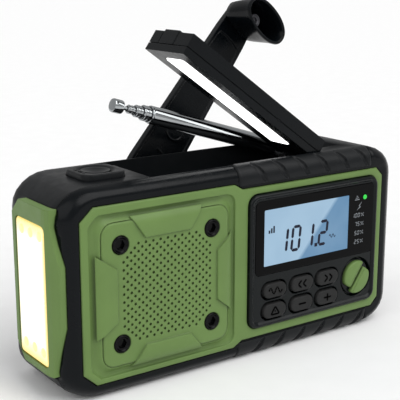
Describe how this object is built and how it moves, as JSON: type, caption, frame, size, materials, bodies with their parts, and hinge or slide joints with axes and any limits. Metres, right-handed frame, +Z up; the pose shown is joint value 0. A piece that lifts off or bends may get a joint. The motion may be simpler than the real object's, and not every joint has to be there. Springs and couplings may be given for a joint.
{
  "type": "emergency radio",
  "caption": "Hand-crank emergency radio with torch end, folding lamp bar with solar top, telescopic antenna, speaker grille, backlit display, push buttons and tuning knob.",
  "frame": {"origin": "middle of the flat base", "axes": "+X along the body away from the torch end, +Y from the front panel to the back, +Z up"},
  "size_m": [0.1553, 0.0628, 0.1315],
  "materials": {
    "black_plastic": "satin moulded",
    "black_matte": "fine matt texture",
    "green_plastic": "olive green, fine matt texture",
    "bezel_plastic": "semi-gloss",
    "button_plastic": "matt",
    "black_rubber": "matt rubber",
    "clear_plastic": "clear, glossy",
    "lcd_glass": "backlit pale blue",
    "led_green": "lit",
    "lamp_diffuser_plastic": "milky, lit",
    "torch_lens_plastic": "clear, lit from behind",
    "solar_cells": "glazed dark blue cells",
    "screw_steel": "black oxide",
    "steel": "plated",
    "chrome": "polished",
    "dark_steel": "dark plated",
    "switch_body": "matt",
    "reflector_coat": "vacuum coated",
    "circuit_board": "solder mask",
    "speaker_paper": "paper cone",
    "nylon": "moulded nylon",
    "battery_wrap": "shrink wrap over a metal can"
  },
  "bodies": {
    "case": {"front_case": "black_plastic", "rear_case": "black_matte", "front_panel": "green_plastic", "speaker_grille": "green_plastic", "grip_top": "black_rubber", "grip_bottom": "black_rubber", "control_bezel": "bezel_plastic", "display_window": "clear_plastic", "lcd_panel": "lcd_glass", "charge_led": "led_green", "button_mat": "black_rubber", "rotary_switch": "switch_body", "main_board": "circuit_board", "speaker_frame": "dark_steel", "speaker_cone": "speaker_paper", "torch_bezel": "green_plastic", "torch_lens": "torch_lens_plastic", "torch_reflector": "reflector_coat", "torch_led_board": "circuit_board", "sos_base": "black_rubber", "lamp_hinge_pin": "steel", "antenna_bracket": "steel", "antenna_pin": "steel", "generator_can": "dark_steel", "gear_plate": "steel", "battery_cell": "battery_wrap", "battery_door": "black_matte", "port_board": "circuit_board", "panel_screw_1": "screw_steel", "panel_screw_2": "screw_steel", "panel_screw_3": "screw_steel", "panel_screw_4": "screw_steel"},
    "lamp": {"lamp_cover": "black_plastic", "lamp_frame": "black_plastic", "lamp_diffuser": "lamp_diffuser_plastic", "lamp_led_board": "circuit_board", "solar_panel": "solar_cells"},
    "latch": {"lamp_latch": "black_plastic"},
    "antenna": {"antenna_tube": "chrome"},
    "section_1": {"antenna_section_1": "chrome"},
    "section_2": {"antenna_section_2": "chrome"},
    "section_3": {"antenna_section_3": "chrome"},
    "antenna_end": {"antenna_tip": "chrome"},
    "crank": {"crank_hub": "black_plastic", "crank_fold_pin": "steel", "crank_gear": "nylon"},
    "arm": {"crank_arm": "black_plastic", "crank_knob_screw": "steel"},
    "knob": {"crank_knob": "black_plastic"},
    "idler": {"idler_gear": "nylon"},
    "generator_rotor": {"rotor": "steel"},
    "selector": {"mode_knob": "green_plastic"},
    "sos": {"sos_button": "black_rubber"},
    "flap": {"port_cover": "black_rubber"},
    "key_1": {"button_1": "button_plastic"},
    "key_2": {"button_2": "button_plastic"},
    "key_3": {"button_3": "button_plastic"},
    "key_4": {"button_4": "button_plastic"},
    "key_5": {"button_5": "button_plastic"},
    "key_6": {"button_6": "button_plastic"}
  },
  "joints": [
    {"name": "lamp_hinge", "type": "hinge", "parent": "case", "child": "lamp", "pos_m": [0.0472, 0, 0.06975], "axis": [0, 1, 0], "range_deg": [-35.2, 62]},
    {"name": "latch_slide", "type": "slide", "parent": "lamp", "child": "latch", "axis": [0.8171, 0, -0.5764], "range_m": [0, 0.0012], "stiffness_N_per_m": 300},
    {"name": "antenna_raise", "type": "hinge", "parent": "case", "child": "antenna", "pos_m": [0.048, 0.0141, 0.0691], "axis": [0, 1, 0], "range_deg": [-17, 76]},
    {"name": "section_1_slide", "type": "slide", "parent": "antenna", "child": "section_1", "axis": [-0.9563, 0, 0.2924], "range_m": [0, 0.055]},
    {"name": "section_2_slide", "type": "slide", "parent": "section_1", "child": "section_2", "axis": [-0.9563, 0, 0.2924], "range_m": [0, 0.056]},
    {"name": "section_3_slide", "type": "slide", "parent": "section_2", "child": "section_3", "axis": [-0.9563, 0, 0.2924], "range_m": [0, 0.057]},
    {"name": "antenna_end_slide", "type": "slide", "parent": "section_3", "child": "antenna_end", "axis": [-0.9563, 0, 0.2924], "range_m": [0, 0.058]},
    {"name": "crank_spin", "type": "hinge", "parent": "case", "child": "crank", "pos_m": [-0.0254, 0.0246, 0.0515], "axis": [0, -1, 0], "continuous": true},
    {"name": "crank_fold", "type": "hinge", "parent": "crank", "child": "arm", "pos_m": [-0.0254, 0.0246, 0.0515], "axis": [-0.7266, 0, 0.6871], "range_deg": [-8.5, 171.5]},
    {"name": "knob_spin", "type": "hinge", "parent": "arm", "child": "knob", "pos_m": [0.03984, 0.03879, 0.12048], "axis": [-0.1016, 0.989, -0.1074], "continuous": true},
    {"name": "idler_spin", "type": "hinge", "parent": "case", "child": "idler", "pos_m": [-0.02789, 0.012, 0.03976], "axis": [0, -1, 0], "continuous": true},
    {"name": "rotor_spin", "type": "hinge", "parent": "case", "child": "generator_rotor", "pos_m": [-0.01889, 0.005, 0.02417], "axis": [0, -1, 0], "continuous": true},
    {"name": "selector_turn", "type": "hinge", "parent": "case", "child": "selector", "pos_m": [0.0548, -0.02, 0.0222], "axis": [0, 1, 0], "range_deg": [-135, 135]},
    {"name": "sos_press", "type": "slide", "parent": "case", "child": "sos", "axis": [0, 0, -1], "range_m": [0, 0.0008], "stiffness_N_per_m": 400},
    {"name": "flap_hinge", "type": "hinge", "parent": "case", "child": "flap", "pos_m": [0.0766, -0.001, 0.0103], "axis": [0, 1, 0], "range_deg": [0, 110]},
    {"name": "key_1_press", "type": "slide", "parent": "case", "child": "key_1", "axis": [0, 1, 0], "range_m": [0, 0.0006], "stiffness_N_per_m": 400},
    {"name": "key_2_press", "type": "slide", "parent": "case", "child": "key_2", "axis": [0, 1, 0], "range_m": [0, 0.0006], "stiffness_N_per_m": 400},
    {"name": "key_3_press", "type": "slide", "parent": "case", "child": "key_3", "axis": [0, 1, 0], "range_m": [0, 0.0006], "stiffness_N_per_m": 400},
    {"name": "key_4_press", "type": "slide", "parent": "case", "child": "key_4", "axis": [0, 1, 0], "range_m": [0, 0.0006], "stiffness_N_per_m": 400},
    {"name": "key_5_press", "type": "slide", "parent": "case", "child": "key_5", "axis": [0, 1, 0], "range_m": [0, 0.0006], "stiffness_N_per_m": 400},
    {"name": "key_6_press", "type": "slide", "parent": "case", "child": "key_6", "axis": [0, 1, 0], "range_m": [0, 0.0006], "stiffness_N_per_m": 400}
  ],
  "couplings": [
    {"joint": "idler_spin", "follows": "crank_spin", "ratio": -2},
    {"joint": "rotor_spin", "follows": "crank_spin", "ratio": 7}
  ]
}
